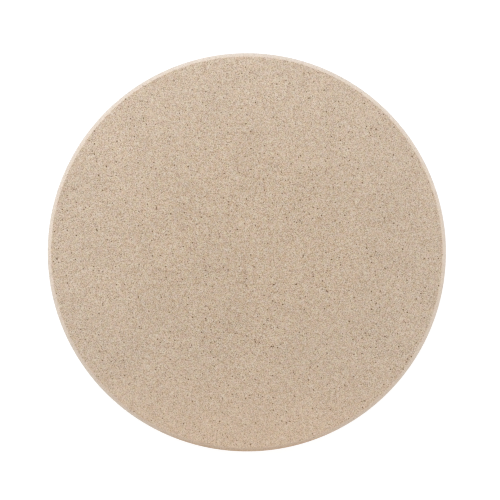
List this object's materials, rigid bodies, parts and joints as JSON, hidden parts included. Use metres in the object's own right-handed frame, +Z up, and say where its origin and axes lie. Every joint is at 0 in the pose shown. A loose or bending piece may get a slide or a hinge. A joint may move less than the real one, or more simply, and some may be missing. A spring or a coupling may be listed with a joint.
{
  "type": "pizza stone",
  "caption": "Round flat pizza stone: a single pressed and fired cordierite slab with a flat bevel round both faces, a straight side wall and a matte speckled sand-coloured surface.",
  "frame": {"origin": "centre of the flat underside that the stone rests on", "axes": "+Z up through the middle of the slab, towards the baking face; X and Y lie in the slab and are alike, because it is round; +Y is towards the top of the picture"},
  "size_m": [0.33, 0.33, 0.012],
  "materials": {
    "cordierite": "matte"
  },
  "bodies": {
    "root": {"baking_stone": "cordierite"}
  },
  "joints": []
}
